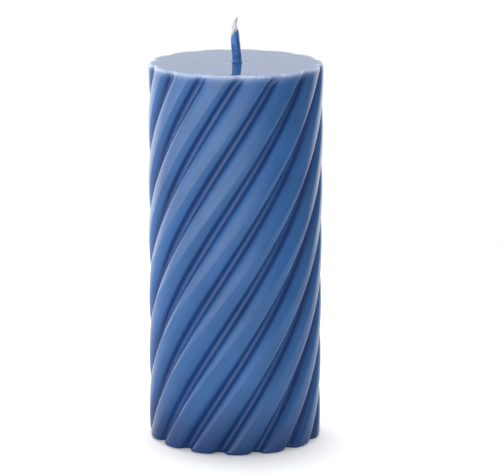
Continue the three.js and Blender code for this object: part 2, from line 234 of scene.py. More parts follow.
class CandleStudio(bpy.types.PropertyGroup):
    """Camera and light. Azimuths of lights are counted from the front to the right."""

    distance: size("Distance", "Camera to the middle of the candle", 1.1773)
    elevation: angle("Elevation", "Camera above the horizon", 0.2215)
    azimuth: angle("Azimuth", "Camera to the left of the front", 0.0302)
    roll: angle("Roll", "Camera turned to the left round its line of sight", 0.0033)
    lens: bpy.props.FloatProperty(
        name="Lens", description="Focal length in millimetres", default=214.1, unit="CAMERA"
    )
    shift_x: bpy.props.FloatProperty(
        name="Shift X", description="Frame to the right of the candle", default=0.0292
    )
    shift_y: bpy.props.FloatProperty(
        name="Shift Y", description="Frame above the candle's middle", default=0.0241
    )
    lamp: strength("Lamp", "Brightness of the lamp above", 14.3)
    lamp_side: size("Lamp Side", "Edge of the square lamp", 0.7)
    lamp_distance: size("Lamp Distance", "Lamp to the middle of the candle", 2.0)
    lamp_azimuth: angle("Lamp Azimuth", "Direction of the lamp", radians(-170))
    lamp_elevation: angle("Lamp Elevation", "Lamp above the horizon", radians(82))
    glow: strength("Glow", "Brightness of the lit table at the front left", 3.17)
    glow_azimuth: angle("Glow Azimuth", "Direction of the lit table's middle", radians(-45))
    glow_elevation: angle("Glow Elevation", "Middle of the lit table above the horizon", radians(-50))
    glow_reach: angle("Glow Reach", "Middle of the lit table to where it is dim", radians(90))
    wall: strength("Wall", "Brightness of the wall behind the candle", 0.63)
    wall_azimuth: angle("Wall Azimuth", "Direction of the wall's middle", radians(-165))
    wall_elevation: angle("Wall Elevation", "Middle of the wall above the horizon", radians(10))
    wall_reach: angle("Wall Reach", "Middle of the wall to where it is dim", radians(85))
    edge: strength("Edge", "Brightness of the lights at the back, one on each side", 1.3)
    edge_azimuth: angle("Edge Azimuth", "Direction of the right one, mirrored on the left", radians(135))
    edge_elevation: angle("Edge Elevation", "Middle of these lights above the horizon", radians(5))
    edge_reach: angle("Edge Reach", "Middle of these lights to where it is dim", radians(35))
    surround: strength("Surround", "Brightness of the rest of the room", 0.39)
    floor_radius: size("Floor Radius", "Reach of the floor", 0.35)
    floor_drop: size("Floor Drop", "Gap under the base, which keeps the two surfaces apart", 0.00003)
    floor_lift: strength("Floor Lift", "Light added to the floor as the camera sees it", 0.22)
    floor_under: strength("Floor Under", "Light from the floor for a camera below the floor", 0.8)


SETTINGS = {
    "candle_body": CandleBody,
    "candle_wick": CandleWick,
    "candle_tab": CandleTab,
    "candle_colours": CandleColours,
    "candle_studio": CandleStudio,
}


# Meshes from grids of points

def cells(grid):
    """The four corners of each cell of a grid, anticlockwise as seen from outside."""
    return np.stack([grid[:-1, :-1], grid[:-1, 1:], grid[1:, 1:], grid[1:, :-1]], axis=2)


def add_piece(name, points, material, close_rows=True, masks=None, lengths=None):
    """A piece whose surface is a grid of points, with rows of columns that close into rings.

    The faces join each point with the next in its row and those above it. With close_rows the last row
    meets the first, and otherwise a fan to the middle of each end row closes the ends. masks are point
    attributes, as a name and a grid of values. lengths are for the wound map, one for each row of corners.
    """
    rows, columns = points.shape[:2]
    index = np.arange(rows * columns).reshape(rows, columns)
    index = np.hstack([index, index[:, :1]])
    if close_rows:
        index = np.vstack([index, index[:1]])
    faces = cells(index).reshape(-1, 4).tolist()
    vertices = points.reshape(-1, 3)
    if not close_rows:
        foot, tip = len(vertices), len(vertices) + 1
        vertices = np.vstack([vertices, points[0].mean(axis=0), points[-1].mean(axis=0)])
        foot_fan = np.stack([np.full(columns, foot), index[0, 1:], index[0, :-1]], axis=-1)
        tip_fan = np.stack([np.full(columns, tip), index[-1, :-1], index[-1, 1:]], axis=-1)
        faces += foot_fan.tolist() + tip_fan.tolist()
    mesh = bpy.data.meshes.new(name)
    mesh.from_pydata(vertices, [], faces)
    for mask, values in (masks or {}).items():
        attribute = mesh.attributes.new(mask, "FLOAT", "POINT")
        attribute.data.foreach_set("value", values.astype(np.float32).ravel())
    if lengths is not None:
        add_wound_map(mesh, columns, lengths)
    mesh.shade_smooth()
    mesh.set_sharp_from_angle(angle=CREASE)
    mesh.materials.append(material)
    piece = bpy.data.objects.new(name, mesh)
    bpy.context.scene.collection.objects.link(piece)
    return piece


def add_wound_map(mesh, columns, lengths):
    """A UV map for a grid's cells, whose U goes once round the rows and whose V is the rows' lengths."""
    around, along = np.meshgrid(np.arange(columns + 1) / columns, lengths)
    corners = cells(np.stack([around, along], axis=-1))
    flat = np.zeros(2 * len(mesh.loops), np.float32)
    flat[: corners.size] = corners.ravel()
    mesh.uv_layers.new(name="Wound").data.foreach_set("uv", flat)


def seat(piece, node):
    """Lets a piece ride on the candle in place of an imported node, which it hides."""
    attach(piece, BODY)
    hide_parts(node)


def smooth(x):
    """A rise from 0 to 1 with level ends: 3 x squared less 2 x cubed."""
    x = np.clip(x, 0, 1)
    return x * x * (3 - 2 * x)


def lobed_ring(body):
    """One turn of the lobed outline, as complex arc centres, radii, insets and directions.

    A lobe is a crown arc, a shoulder arc on each side and a groove arc, all tangent. The shoulder's centre
    is at crown radius less shoulder radius from the crown's centre, and at shoulder plus groove radius
    from the groove's. A point is centre + (radius + inset * grow) * direction, where grow is -1 on the
    convex arcs and +1 in the groove.
    """
    half = math.pi / body.lobes
    crown = complex(body.crest_radius - body.crown_radius, 0)
    groove = (body.crest_radius - body.groove_depth + body.groove_radius) * np.exp(1j * half)
    to_shoulder = body.crown_radius - body.shoulder_radius
    to_groove = body.shoulder_radius + body.groove_radius
    across = abs(groove - crown)
    bend = math.acos((across**2 + to_shoulder**2 - to_groove**2) / (2 * across * to_shoulder))
    crown_end = np.angle(groove - crown) - bend
    shoulder = crown + to_shoulder * np.exp(1j * crown_end)
    shoulder_end = np.angle(groove - shoulder)
    next_shoulder = shoulder.conjugate() * np.exp(2j * half)
    next_start = 2 * half - shoulder_end
    arcs = [
        (crown, body.crown_radius, -1, -crown_end, crown_end, CROWN_STEPS),
        (shoulder, body.shoulder_radius, -1, crown_end, shoulder_end, SHOULDER_STEPS),
        (groove, body.groove_radius, 1, shoulder_end + math.pi, next_start + math.pi, GROOVE_STEPS),
        (next_shoulder, body.shoulder_radius, -1, next_start, 2 * half - crown_end, SHOULDER_STEPS),
    ]
    parts = [
        (np.full(steps, centre), np.full(steps, radius), np.full(steps, grow),
         np.exp(1j * np.linspace(start, end, steps, endpoint=False)))
        for centre, radius, grow, start, end, steps in arcs
    ]
    centres, radii, grows, directions = (np.concatenate(values) for values in zip(*parts))
    turns = np.exp(1j * (2 * half * np.arange(body.lobes)[:, None] - math.pi / 2))
    return (
        (turns * centres).ravel(),
        np.tile(radii, body.lobes),
        np.tile(grows, body.lobes),
        (turns * directions).ravel(),
    )


def lobed_rows(body, insets, heights):
    """Rows of the lobed outline, each moved in by its inset and turned by its height over the lead.

    Near the rim the grooves fill up: there a point moves out by a share of its way to the crest circle.
    """
    centres, radii, grows, directions = lobed_ring(body)
    insets, heights = insets[:, None], heights[:, None]
    flat = centres + (radii + insets * grows) * directions
    fill = body.rim_fill * smooth((heights - body.height + body.rim_reach) / body.rim_reach)
    flat = flat * (1 + fill * ((body.crest_radius - insets) / abs(flat) - 1))
    flat = flat * np.exp(1j * TURN * heights / body.lead)
    return np.stack([flat.real, flat.imag, np.broadcast_to(heights, flat.shape)], axis=-1)


def groove_share(body):
    """How deep each column of the outline lies in its groove: 0 on the crest circle, 1 at the bottom."""
    centres, radii, _, directions = lobed_ring(body)
    return np.clip((body.crest_radius - abs(centres + radii * directions)) / body.groove_depth, 0, 1)


def blend_rows(outline, centre, radius, height, shares):
    """Rows between an outline and a circle at one height: outline * (1 - share) + circle * share.

    The circle's points lie in the direction of the outline's points, so the rows run straight inwards.
    """
    directions = outline[:, :2] / np.linalg.norm(outline[:, :2], axis=1, keepdims=True)
    circle = np.array([centre, 0.0]) + radius * directions
    share_in = np.asarray(shares)[:, None, None]
    flat = outline[None, :, :2] * (1 - share_in) + circle[None] * share_in
    return np.concatenate([flat, np.full((*flat.shape[:2], 1), height)], axis=-1)


def dish(body, wick, points):
    """Depth of the shallow hollow round the wick: full at the bore, with a smooth fall to 0 at its edge."""
    from_wick = np.hypot(points[..., 0] - wick.offset, points[..., 1])
    return body.dish_depth * (1 - smooth((from_wick - wick.bore) / body.dish_radius))


def blank_masks(points):
    """The masks that the coloured wax reads, with a 0 for each point."""
    return {mask: np.zeros(points.shape[:2]) for mask in ("groove", "top", "foot", "edge")}


def wick_curve(wick):
    """A fine table of the wick above the candle: length along it, x and height over the top.

    It is a cubic curve with handles at a third of its height and at three quarters of it. The upper one
    is pulled towards -X.
    """
    lower, upper = wick.length / 3, wick.length * 3 / 4
    t = np.linspace(0, 1, CURVE_STEPS)
    x = -3 * wick.bow * (1 - t) * t**2 - wick.tip_shift * t**3
    z = 3 * lower * (1 - t) ** 2 * t + 3 * upper * (1 - t) * t**2 + wick.length * t**3
    run = np.concatenate([[0], np.cumsum(np.hypot(np.diff(x), np.diff(z)))])
    return run, x, z


def wick_line(wick, top, along):
    """Points at lengths along the wick, counted from the top of the candle.

    Below the top the line is straight down, and above it x and z are looked up in the curve's table. Past
    the tip, where the slanted wax could reach, it is straight up.
    """
    run, x, z = wick_curve(wick)
    beyond = np.clip(along - run[-1], 0, None)
    return np.stack([
        wick.offset + np.interp(along, run, x),
        np.zeros_like(along),
        top + np.minimum(along, 0) + np.interp(along, run, z) + beyond,
    ], axis=-1)


def plait_centres(wick, body, along, strand):
    """Centre of one strand beside the wick's line, across and over, at lengths from the candle's top.

    Across is swing * sin(p) and over is rise * sin(2p). The phase p grows by a turn in each pitch from
    the wick's foot, and is a third of a turn apart from strand to strand.
    """
    turns = (along + body.height - wick.foot) / wick.plait_pitch + strand / STRANDS
    return wick.plait_swing * np.sin(TURN * turns), wick.plait_rise * np.sin(2 * TURN * turns)


def strand_radii(wick, along, reach):
    """Radius of a strand at each of its points, and the share of the plait's width, at each length.

    Width falls evenly from 1 to the tip's share over the taper. Swelling rises smoothly from 1 to 1 plus
    swell at the end of the wick's wax. The radius is the strand's, less the relief between its twisted
    plies, times the swelling, times the width to the power of the firmness. The strands move together by
    the width, divided by the swelling to the power of the drift.
    """
    width = np.minimum(1, wick.tip_share + (1 - wick.tip_share) * (reach - along) / wick.tip_taper)
    swelling = 1 + wick.swell * smooth((along - wick.coat_reach + wick.swell_reach) / wick.swell_reach)
    around = TURN * np.arange(STRAND_COLUMNS) / STRAND_COLUMNS
    plies = np.cos(PLIES * around[None] + TURN * along[:, None] / wick.ply_pitch)
    radii = wick.strand_radius - wick.ply_relief * (1 - plies) / 2
    return (width**wick.tip_firmness * swelling)[:, None] * radii, width / swelling**wick.swell_drift


def tube_rows(centres, radii):
    """Rings of a tube: centre + radius * (cos * side + sin * front), square to the line of centres."""
    tangents = np.gradient(centres, axis=0)
    tangents /= np.linalg.norm(tangents, axis=1, keepdims=True)
    side = np.cross([0.0, 1.0, 0.0], tangents)
    side /= np.linalg.norm(side, axis=1, keepdims=True)
    front = np.cross(tangents, side)
    columns = radii.shape[1]
    around = (TURN * np.arange(columns) / columns)[None, :, None]
    ring = np.cos(around) * side[:, None] + np.sin(around) * front[:, None]
    return centres[:, None] + radii[..., None] * ring


# Finishes

def new_material(name):
    """A new material, its node tree and its Principled shader."""
    material = bpy.data.materials.new(name)
    material.use_nodes = True
    tree = material.node_tree
    return material, tree, tree.nodes["Principled BSDF"]


def set_inputs(tree, node, values):
    """Puts constants or links on a node's inputs, which are given by name or number."""
    for key, value in values.items():
        if isinstance(value, bpy.types.NodeSocket):
            tree.links.new(value, node.inputs[key])
        else:
            node.inputs[key].default_value = value


def add_node(tree, kind, values=None, **settings):
    """The outputs of a new node with its settings and inputs."""
    node = tree.nodes.new(kind)
    for key, value in settings.items():
        setattr(node, key, value)
    set_inputs(tree, node, values or {})
    return node.outputs


def calculate(tree, operation, *values):
    """The result of a sum on numbers."""
    return add_node(tree, "ShaderNodeMath", dict(enumerate(values)), operation=operation)[0]


def map_range(tree, value, old, new, interpolation="LINEAR"):
    """A value carried from one range to another, held at the new range's ends."""
    return add_node(tree, "ShaderNodeMapRange", {
        "Value": value, "From Min": old[0], "From Max": old[1], "To Min": new[0], "To Max": new[1],
    }, interpolation_type=interpolation)[0]


def mix_colours(tree, factor, first, second):
    """The first colour where the factor is 0, the second where it is 1."""
    return add_node(tree, "ShaderNodeMix", {0: factor, 6: first, 7: second}, data_type="RGBA")[2]


def mix_shaders(tree, factor, first, second):
    """The first shader where the factor is 0, the second where it is 1."""
    return add_node(tree, "ShaderNodeMixShader", {0: factor, 1: first, 2: second})[0]


def scaled_colour(tree, tint, tone):
    """A colour times a number."""
    return add_node(tree, "ShaderNodeVectorMath", {0: tint, "Scale": tone}, operation="SCALE")[0]


def mask_value(tree, mask):
    """The value of a point attribute."""
    return add_node(tree, "ShaderNodeAttribute", attribute_name=mask)["Fac"]


def noise(tree, vector, scale, detail, roughness=0.5):
    """Cloudy values about 0.5."""
    return add_node(tree, "ShaderNodeTexNoise", {
        "Vector": vector, "Scale": scale, "Detail": detail, "Roughness": roughness,
    })["Fac"]


def stretched(tree, vector, scales):
    """Coordinates times a scale on each axis."""
    return add_node(tree, "ShaderNodeMapping", {"Vector": vector, "Scale": scales})[0]


def relief(tree, height, amount, distance):
    """A normal that follows a height."""
    return add_node(tree, "ShaderNodeBump", {"Strength": amount, "Distance": distance, "Height": height})[0]


def wax_grain():
    """Group: the uneven tone of poured wax and the relief of its skin, as values over the surface."""
    name = "Wax Grain"
    if name in bpy.data.node_groups:
        return bpy.data.node_groups[name]
    tree = bpy.data.node_groups.new(name, "ShaderNodeTree")
    tree.interface.new_socket("Position", in_out="INPUT", socket_type="NodeSocketVector")
    for label, value in (("Cloud Scale", 45.0), ("Grain Scale", 900.0)):
        scale = tree.interface.new_socket(label, in_out="INPUT", socket_type="NodeSocketFloat")
        scale.default_value = value
    for label in ("Cloud", "Fine", "Height"):
        tree.interface.new_socket(label, in_out="OUTPUT", socket_type="NodeSocketFloat")
    given = add_node(tree, "NodeGroupInput")
    cloud = noise(tree, given["Position"], given["Cloud Scale"], 3.0, 0.55)
    fine = noise(tree, given["Position"], given["Grain Scale"], 2.0)
    cloud_relief = 6.0
    height = calculate(tree, "MULTIPLY_ADD", cloud, cloud_relief, fine)
    add_node(tree, "NodeGroupOutput", {"Cloud": cloud, "Fine": fine, "Height": height})
    return tree


def coloured_wax(colours):
    """Dyed wax with faint streaks. Painted shade darkens it on the grooves' walls, at the foot and towards
    the rim, and a painted highlight makes it paler on the rim.

    The streaks run along the lobes and leave out the top. The painted shade is lighter at the bottom of a
    groove than on its walls.
    The wax is glossy on the lobes, glossier on the top, and duller on the rim and in the grooves.
    """
    name = "Coloured Wax"
    if name in bpy.data.materials:
        return bpy.data.materials[name]
    material, tree, shader = new_material(name)
    # These depths place the painted shade on a groove's walls and take part of it off its bottom.
    wall_depths, bottom_depths, bottom_shade_cut = (0.2, 0.75), (0.82, 1.0), 0.55
    streaks_round, streaks_along = 170.0, 14.0
    lobe_roughness, dull_roughness, top_roughness = 0.11, 0.3, 0.08
    position = add_node(tree, "ShaderNodeTexCoord")["Object"]
    grain = add_node(tree, "ShaderNodeGroup", {"Position": position}, node_tree=wax_grain())
    groove, top, foot, edge = (mask_value(tree, mask) for mask in ("groove", "top", "foot", "edge"))
    wall = map_range(tree, groove, wall_depths, UNIT, "SMOOTHSTEP")
    bottom = map_range(tree, groove, bottom_depths, UNIT)
    groove_shade = calculate(tree, "MULTIPLY_ADD", bottom, -bottom_shade_cut, wall)
    side = mix_colours(tree, groove_shade, colours.wax, colours.groove_shade_wax)
    # Painted shade at the foot, then a painted highlight on the rim.
    dye = mix_colours(tree, edge, mix_colours(tree, foot, side, colours.foot_shade_wax), colours.rim_highlight_wax)
    wound = add_node(tree, "ShaderNodeUVMap", uv_map="Wound")["UV"]
    lines = noise(tree, stretched(tree, wound, (streaks_round, streaks_along, 1.0)), 1.0, 3.0)
    streak = add_node(tree, "ShaderNodeMix", {0: top, 2: lines, 3: 0.5})[0]
    uneven = calculate(tree, "ADD", grain["Cloud"], streak)
    cloudy = map_range(tree, uneven, (0.7, 1.3), (0.82, 1.18))
    # The tone mask carries painted shade by height; the cloudy part is the wax's own.
    tone = calculate(tree, "MULTIPLY", cloudy, mask_value(tree, "tone"))
    dull = calculate(tree, "MAXIMUM", bottom, edge)
    side_roughness = map_range(tree, dull, UNIT, (lobe_roughness, dull_roughness))
    satin = map_range(tree, top, UNIT, (side_roughness, top_roughness))
    set_inputs(tree, shader, {
        "Base Color": scaled_colour(tree, dye, tone),
        "Roughness": calculate(tree, "MULTIPLY", satin, map_range(tree, streak, NOISE_RANGE, (0.8, 1.2))),
        "Normal": relief(tree, grain["Height"], 0.02, 0.00002),
        "IOR": WAX_IOR,
    })
    return material


def pale_wax(colours):
    """Undyed wax of the core: cloudy and nearly matt, yellower where it is dense."""
    material, tree, shader = new_material("Pale Wax")
    position = add_node(tree, "ShaderNodeTexCoord")["Object"]
    grain = add_node(tree, "ShaderNodeGroup", {
        "Position": position, "Cloud Scale": 130.0, "Grain Scale": 1500.0,
    }, node_tree=wax_grain())
    density = map_range(tree, grain["Cloud"], NOISE_RANGE, UNIT)
    set_inputs(tree, shader, {
        "Base Color": mix_colours(tree, density, colours.pale_wax, colours.dense_wax),
        "Roughness": map_range(tree, grain["Fine"], NOISE_RANGE, (0.4, 0.58)),
        "Normal": relief(tree, grain["Height"], 0.4, 0.00004),
        "IOR": WAX_IOR,
    })
    return material


def cotton_yarn(colours):
    """Bleached cotton: fine fibres that run round with the yarn's twist, greyer between the yarns."""
    name = "Cotton Yarn"
    if name in bpy.data.materials:
        return bpy.data.materials[name]
    material, tree, shader = new_material(name)
    twists_along, fibres_round, fibres_along = 240.0, 36.0, 900.0
    wound = add_node(tree, "ShaderNodeUVMap", uv_map="Wound")["UV"]
    parts = add_node(tree, "ShaderNodeSeparateXYZ", {0: wound})
    turned = calculate(tree, "MULTIPLY_ADD", parts["Y"], twists_along, parts["X"])
    drawn = add_node(tree, "ShaderNodeCombineXYZ", {
        "X": calculate(tree, "MULTIPLY", turned, fibres_round),
        "Y": calculate(tree, "MULTIPLY", parts["Y"], fibres_along),
    })[0]
    fibres = noise(tree, drawn, 1.0, 3.0, 0.6)
    shade = map_range(tree, fibres, (0.35, 0.65), UNIT)
    set_inputs(tree, shader, {
        "Base Color": mix_colours(tree, shade, colours.shaded_cotton, colours.cotton),
        "Roughness": map_range(tree, fibres, NOISE_RANGE, (0.95, 0.8)),
        "Normal": relief(tree, fibres, 0.25, 0.00004),
        "Sheen Weight": 0.2,
    })
    return material


def tin_plate(colours):
    """Tinned steel sheet: soft crystals of tin, with fine lines from the rolls."""
    material, tree, shader = new_material("Tin Plate")
    position = add_node(tree, "ShaderNodeTexCoord")["Object"]
    crystals = add_node(tree, "ShaderNodeTexVoronoi", {"Vector": position, "Scale": 500.0})["Color"]
    crystal = add_node(tree, "ShaderNodeSeparateColor", {0: crystals})[0]
    lines = noise(tree, stretched(tree, position, (40.0, 2500.0, 40.0)), 1.0, 2.0)
    tone = map_range(tree, crystal, UNIT, (0.85, 1.0))
    set_inputs(tree, shader, {
        "Base Color": scaled_colour(tree, colours.tin[:3], tone),
        "Roughness": map_range(tree, crystal, UNIT, (0.3, 0.45)),
        "Normal": relief(tree, lines, 0.3, 0.00001),
        "Metallic": 1.0,
    })
    return material


# Operators

class CANDLE_OT_coloured_coat(bpy.types.Operator):
    """Build the coloured wax over the side and the top"""

    bl_idname = "candle.coloured_coat"
    bl_label = "Coloured Coat"

    def execute(self, context):
        scene = context.scene
        body, wick = scene.candle_body, scene.candle_wick
        edge, thickness, height = body.edge_round, body.coat_thickness, body.height
        turn = np.linspace(0, TURN / 4, ROUND_ROWS)
        foot_insets = thickness * (1 - np.sin(turn))
        foot_heights = thickness * (1 - np.cos(turn))
        side_heights = np.linspace(thickness, height - edge, SIDE_ROWS)[1:-1]
        rim_insets = edge * (1 - np.cos(turn))
        rim_heights = height - edge * (1 - np.sin(turn))
        outer = lobed_rows(
            body,
            np.concatenate([foot_insets, np.zeros(len(side_heights)), rim_insets]),
            np.concatenate([foot_heights, side_heights, rim_heights]),
        )
        inwards = 1 - np.linspace(1, 0, TOP_ROWS)[1:] ** TOP_CROWDING
        top = blend_rows(outer[-1], wick.offset, wick.bore, height, inwards)
        top[..., 2] -= dish(body, wick, top)
        inner_heights = np.linspace(height - thickness, 0, INNER_ROWS)[:-1]
        inner = lobed_rows(body, np.full(len(inner_heights), thickness), inner_heights)
        outwards = np.linspace(1, 0, UNDER_ROWS)[:-1]
        under = blend_rows(inner[0], wick.offset, wick.bore, height - thickness, outwards)
        points = np.concatenate([outer, top, under, inner])
        levels = points[:, 0, 2]
        piece = add_piece(
            "waxed_body", points, coloured_wax(scene.candle_colours),
            masks=self.masks(body, points, len(outer), inwards, turn), lengths=np.append(levels, levels[0]),
        )
        seat(piece, "coloured_coat")
        return {"FINISHED"}

    def masks(self, body, points, rim, inwards, turn):
        """Where the wax is in a groove, on the top, near the foot or on the rim's edge, and its tone. These
        masks place painted shade in the grooves, at the foot and towards the rim, and a painted highlight
        on the rim's edge.

        rim is the number of rows up to the top, and inwards and turn say how far the rows of the top and
        of the rim's round have come. The painted highlight is palest halfway round, as sin(2 turn), and
        fades exponentially down the side and in on the top. The tone falls evenly with the height: painted
        shade.
        """
        masks = blank_masks(points)
        levels = points[:rim, :1, 2]
        lid = slice(rim, rim + len(inwards))
        bend = slice(rim - len(turn), rim)
        masks["groove"][:rim] = groove_share(body)
        masks["groove"][bend] *= np.cos(turn)[:, None]
        masks["top"][lid] = 1
        # Painted shade that darkens the wax towards the base.
        masks["foot"][:rim] = smooth(1 - levels / body.foot_reach)
        # Painted highlight on the rim, fading down the side, round the rim and in on the top.
        below = (levels - body.height + body.edge_round) / body.rim_highlight_fade
        masks["edge"][:rim] = body.rim_highlight_share * np.exp(below)
        masks["edge"][bend] = body.rim_highlight_share + (1 - body.rim_highlight_share) * np.sin(2 * turn)[:, None]
        masks["edge"][lid] = body.rim_highlight_share * np.exp(-inwards[:, None] / body.rim_highlight_spread)
        # Painted shade by height: lighter at the foot, darker at the rim.
        masks["tone"] = 1 + body.height_shade * (0.5 - points[..., 2] / body.height)
        return masks


class CANDLE_OT_pale_core(bpy.types.Operator):
    """Build the pale wax inside, with the wick's bore and the recess in the base"""

    bl_idname = "candle.pale_core"
    bl_label = "Pale Core"

    def execute(self, context):
        scene = context.scene
        body, wick, tab = scene.candle_body, scene.candle_wick, scene.candle_tab
        inset = body.coat_thickness + body.seam
        top = body.height - inset
        side = lobed_rows(body, np.full(CORE_ROWS, inset), np.linspace(0, top, CORE_ROWS))
        lid = blend_rows(side[-1], wick.offset, wick.bore, top, np.linspace(0, 1, LID_ROWS)[1:])
        recess = tab.radius + tab.clearance
        recess_top = tab.inset + tab.sheet + tab.clearance
        neck_top = tab.inset + tab.neck_height + tab.clearance
        lip = tab.lip * recess_top
        half_round = 0.3 * lip  # a round's middle lies this far from its two ends
        well = [
            (wick.bore, neck_top), (tab.neck_room, neck_top), (tab.neck_room, recess_top),
            (recess, recess_top), (recess, lip), (recess + half_round, half_round), (recess + lip, 0),
        ]
        rows = [blend_rows(side[0], wick.offset, radius, level, [1.0]) for radius, level in well]
        base = blend_rows(side[0], wick.offset, recess + lip, 0, np.linspace(1, 0, BASE_ROWS)[1:-1])
        points = np.concatenate([side, lid, *rows, base])
        piece = add_piece("pale_body", points, pale_wax(scene.candle_colours))
        seat(piece, "wax_core")
        return {"FINISHED"}


class CANDLE_OT_wick_strands(bpy.types.Operator):
    """Build the three twisted strands of the plaited wick"""

    bl_idname = "candle.wick_strands"
    bl_label = "Wick Strands"

    def execute(self, context):
        scene = context.scene
        body, wick = scene.candle_body, scene.candle_wick
        reach = wick_curve(wick)[0][-1]
        buried = np.linspace(wick.foot - body.height, SHOWN_FROM, BURIED_ROWS)[:-1]
        along = np.concatenate([buried, np.linspace(SHOWN_FROM, reach, SHOWN_ROWS)])
        line = wick_line(wick, body.height, along)
        radii, gather = strand_radii(wick, along, reach)
        for strand in range(STRANDS):
            across, over = plait_centres(wick, body, along, strand)
            shifts = np.stack([across * gather, over * gather, np.zeros_like(along)], axis=-1)
            piece = add_piece(
                f"yarn_strand_{strand + 1}", tube_rows(line + shifts, radii),
                cotton_yarn(scene.candle_colours), close_rows=False, lengths=along,
            )
            seat(piece, f"wick_strand_{strand + 1}")
        return {"FINISHED"}


class CANDLE_OT_wick_coat(bpy.types.Operator):
    """Build the coloured wax on the lower part of the bare wick"""

    bl_idname = "candle.wick_coat"
    bl_label = "Wick Coat"

    def execute(self, context):
        scene = context.scene
        body, wick = scene.candle_body, scene.candle_wick
        around = TURN * np.arange(SLEEVE_COLUMNS)[None] / SLEEVE_COLUMNS
        slant = math.tan(wick.coat_slant) * np.cos(around)
        end = wick.coat_reach + wick.coat_radius * slant
        share_up = np.linspace(0, 1, SLEEVE_ROWS)[:, None]
        radius = self.wax_radius(wick, body, share_up, end, around)
        outer = self.sleeve(wick, body, share_up * end, radius, around)
        inner_along = (1 - np.linspace(0, 1, BORE_ROWS)[:, None]) * (end - body.seam)
        inner = self.sleeve(wick, body, inner_along, np.full_like(inner_along, wick.bore), around)
        points = np.concatenate([outer, inner])
        for foot in (0, -1):
            points[foot, :, 2] -= dish(body, wick, points[foot]) - body.seam
        masks = blank_masks(points)
        masks["tone"] = np.full(points.shape[:2], wick.coat_tone)
        piece = add_piece(
            "wick_sleeve", points, coloured_wax(scene.candle_colours),
            masks=masks, lengths=np.append(points[:, 0, 2], points[0, 0, 2]),
        )
        seat(piece, "wick_coat")
        return {"FINISHED"}

    def wax_radius(self, wick, body, share_up, end, around):
        """Outside radius of the wax, at shares of the way up to its slanted end.

        It falls evenly upwards and is less by the lumps where no strand faces out. Near the end it thins
        out as the square root of a smooth fall, and a flare that fades exponentially is added at its foot.
        """
        least, last_share = wick.bore + wick.coat_edge, 0.02
        along = share_up * end
        lumps = np.zeros_like(along)
        for strand in range(STRANDS):
            across, over = plait_centres(wick, body, along, strand)
            facing = (across * np.cos(around) + over * np.sin(around)) / wick.plait_swing
            lumps = np.maximum(lumps, smooth(facing))
        radius = wick.coat_radius - wick.coat_thinning * share_up - wick.coat_lumps * (1 - lumps)
        feather = np.sqrt(smooth(last_share + (end - along) / wick.coat_feather))
        return least + (radius - least) * feather + wick.coat_flare * np.exp(-along / wick.flare_reach)

    def sleeve(self, wick, body, along, radius, around):
        """Points at lengths along the wick's line, each a radius away from it in its own direction."""
        points = wick_line(wick, body.height, along)
        points[..., 0] += radius * np.cos(around)
        points[..., 1] += radius * np.sin(around)
        return points


class CANDLE_OT_wick_tab(bpy.types.Operator):
    """Build the stamped tin tab with its crimped neck"""

    bl_idname = "candle.wick_tab"
    bl_label = "Wick Tab"

    def execute(self, context):
        scene = context.scene
        points = self.crimped(scene.candle_wick, scene.candle_tab)
        piece = add_piece("tin_tab", points, tin_plate(scene.candle_colours))
        seat(piece, "wick_sustainer")
        return {"FINISHED"}

    def crimped(self, wick, tab):
        """The profile turned round the wick's axis, with its neck pressed to an oval in the crimp.

        The press is a raised cosine of the distance from the crimp's middle. It brings the oval's depth
        from the neck's radius to the crimp's, and depth and width squared keep their sum, which keeps the
        sheet's length round the neck. Off the neck's sheet, points move square to the oval.
        """
        radii, heights = self.profile(tab)
        around = TURN * np.arange(TAB_COLUMNS)[None] / TAB_COLUMNS
        from_crimp = np.clip(abs(heights - tab.crimp_height) / tab.crimp_reach, 0, 1)
        press = 0.5 + 0.5 * np.cos(math.pi * from_crimp)
        depth = (tab.neck_radius + (tab.crimp_depth - tab.neck_radius) * press)[:, None]
        width = np.sqrt(2 * tab.neck_radius**2 - depth**2)
        outward = np.stack(np.broadcast_arrays(depth * np.cos(around), width * np.sin(around)), axis=-1)
        outward /= np.linalg.norm(outward, axis=-1, keepdims=True)
        from_sheet = (radii - tab.neck_radius)[:, None]
        points = np.empty((len(radii), TAB_COLUMNS, 3))
        points[..., 0] = wick.offset + width * np.cos(around) + from_sheet * outward[..., 0]
        points[..., 1] = depth * np.sin(around) + from_sheet * outward[..., 1]
        points[..., 2] = tab.inset + heights[:, None]
        return points

    def profile(self, tab):
        """Radii and heights of the sheet's outline.

        It runs outwards under the disc, back over it, up the neck and down inside the neck.
        """
        half, thick_bend = tab.sheet / 2, tab.fillet + tab.sheet
        inner, outer = tab.neck_radius - half, tab.neck_radius + half
        bend = np.linspace(0, TURN / 4, BEND_ROWS)
        lip = np.linspace(-TURN / 4, TURN / 4, LIP_ROWS)
        centre, level = outer + tab.fillet, tab.sheet + tab.fillet
        disc = np.linspace(centre, tab.radius - half, DISC_ROWS)[1:-1]
        mouth = tab.neck_height - half
        neck = np.linspace(level, mouth, NECK_ROWS)[1:-1]
        radii = np.concatenate([
            disc,
            tab.radius - half + half * np.cos(lip),
            disc[::-1],
            centre - tab.fillet * np.sin(bend),
            np.full_like(neck, outer),
            tab.neck_radius + half * np.cos(lip + TURN / 4),
            np.full_like(neck, inner),
            centre - thick_bend * np.cos(bend),
        ])
        heights = np.concatenate([
            np.zeros_like(disc),
            half + half * np.sin(lip),
            np.full_like(disc, tab.sheet),
            level - tab.fillet * np.cos(bend),
            neck,
            mouth + half * np.sin(lip + TURN / 4),
            neck[::-1],
            level - thick_bend * np.sin(bend),
        ])
        return radii, heights


